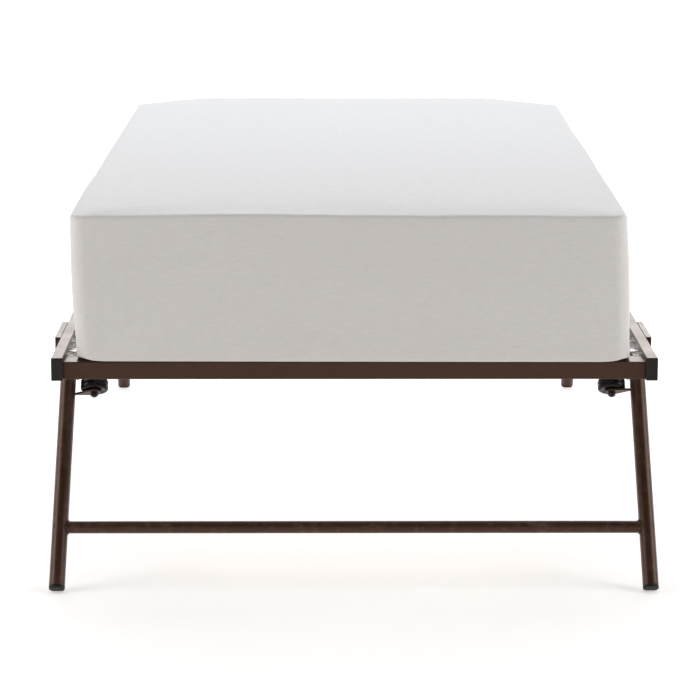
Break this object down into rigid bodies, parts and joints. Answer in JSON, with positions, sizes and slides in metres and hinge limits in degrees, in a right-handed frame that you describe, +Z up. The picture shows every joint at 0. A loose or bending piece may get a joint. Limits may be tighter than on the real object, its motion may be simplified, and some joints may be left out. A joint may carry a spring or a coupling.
{
  "type": "rollaway bed",
  "caption": "Low metal guest bed frame with fold-under leg frames and small wheels, carrying a thick foam mattress.",
  "frame": {"origin": "on the floor under the middle of the bed, at the centre of the bottom of its box", "axes": "+X across the bed to the right as seen from the foot end, +Y along the bed to the head end, +Z up"},
  "size_m": [1.0894, 1.915, 0.6826],
  "materials": {
    "bronze_paint": "semi-gloss dark bronze powder coat",
    "zinc_steel": "dull zinc plate",
    "black_plastic": "fine-grained moulding",
    "dark_steel": "black oxide",
    "wheel_plastic": "glossy moulding",
    "cover_fabric": "fine white knit"
  },
  "bodies": {
    "deck_frame": {"side_rail_left": "bronze_paint", "side_rail_right": "bronze_paint", "end_rail_foot": "bronze_paint", "end_rail_head": "bronze_paint", "cross_tube_1": "bronze_paint", "cross_tube_2": "bronze_paint", "deck_strap_1": "zinc_steel", "deck_strap_2": "zinc_steel", "deck_strap_3": "zinc_steel", "deck_strap_4": "zinc_steel", "deck_strap_5": "zinc_steel", "deck_strap_6": "zinc_steel", "deck_strap_7": "zinc_steel", "deck_strap_8": "zinc_steel", "deck_strap_9": "zinc_steel", "deck_strap_10": "zinc_steel", "rail_cap_foot_left": "black_plastic", "rail_cap_foot_right": "black_plastic", "rail_cap_head_left": "black_plastic", "rail_cap_head_right": "black_plastic", "corner_gusset_foot_left": "bronze_paint", "corner_gusset_foot_right": "bronze_paint", "corner_gusset_head_left": "bronze_paint", "corner_gusset_head_right": "bronze_paint", "leg_bracket_foot_left": "bronze_paint", "leg_bracket_foot_right": "bronze_paint", "leg_bracket_head_left": "bronze_paint", "leg_bracket_head_right": "bronze_paint", "pivot_rivet_foot_left": "dark_steel", "pivot_rivet_foot_right": "dark_steel", "pivot_rivet_head_left": "dark_steel", "pivot_rivet_head_right": "dark_steel"},
    "foot_leg_frame": {"leg_crossbar_foot": "bronze_paint", "leg_tube_foot_left": "bronze_paint", "leg_tube_foot_right": "bronze_paint", "foot_glide_foot_left": "black_plastic", "foot_glide_foot_right": "black_plastic", "wheel_arm_foot_left": "bronze_paint", "wheel_arm_foot_right": "bronze_paint", "wheel_bolt_foot_left": "dark_steel", "wheel_bolt_foot_right": "dark_steel", "wheel_nut_foot_left": "dark_steel", "wheel_nut_foot_right": "dark_steel"},
    "head_leg_frame": {"leg_crossbar_head": "bronze_paint", "leg_tube_head_left": "bronze_paint", "leg_tube_head_right": "bronze_paint", "foot_glide_head_left": "black_plastic", "foot_glide_head_right": "black_plastic", "wheel_arm_head_left": "bronze_paint", "wheel_arm_head_right": "bronze_paint", "wheel_bolt_head_left": "dark_steel", "wheel_bolt_head_right": "dark_steel", "wheel_nut_head_left": "dark_steel", "wheel_nut_head_right": "dark_steel"},
    "foot_left_wheel": {"wheel_foot_left": "wheel_plastic"},
    "foot_right_wheel": {"wheel_foot_right": "wheel_plastic"},
    "head_left_wheel": {"wheel_head_left": "wheel_plastic"},
    "head_right_wheel": {"wheel_head_right": "wheel_plastic"},
    "mattress": {"mattress": "cover_fabric"}
  },
  "joints": [
    {"name": "mattress_lift", "type": "slide", "parent": "deck_frame", "child": "mattress", "axis": [0, 0, 1], "range_m": [0, 0.25]},
    {"name": "foot_leg_fold", "type": "hinge", "parent": "deck_frame", "child": "foot_leg_frame", "pos_m": [0, -0.6833, 0.355], "axis": [1, 0, 0], "range_deg": [0, 123]},
    {"name": "head_leg_fold", "type": "hinge", "parent": "deck_frame", "child": "head_leg_frame", "pos_m": [0, 0.6833, 0.355], "axis": [-1, 0, 0], "range_deg": [0, 123]},
    {"name": "foot_left_wheel_spin", "type": "hinge", "parent": "foot_leg_frame", "child": "foot_left_wheel", "pos_m": [-0.474, -0.70074, 0.33365], "axis": [0, 0.5446, 0.8387], "continuous": true},
    {"name": "foot_right_wheel_spin", "type": "hinge", "parent": "foot_leg_frame", "child": "foot_right_wheel", "pos_m": [0.474, -0.70074, 0.33365], "axis": [0, 0.5446, 0.8387], "continuous": true},
    {"name": "head_left_wheel_spin", "type": "hinge", "parent": "head_leg_frame", "child": "head_left_wheel", "pos_m": [-0.474, 0.70074, 0.33365], "axis": [0, -0.5446, 0.8387], "continuous": true},
    {"name": "head_right_wheel_spin", "type": "hinge", "parent": "head_leg_frame", "child": "head_right_wheel", "pos_m": [0.474, 0.70074, 0.33365], "axis": [0, -0.5446, 0.8387], "continuous": true}
  ]
}
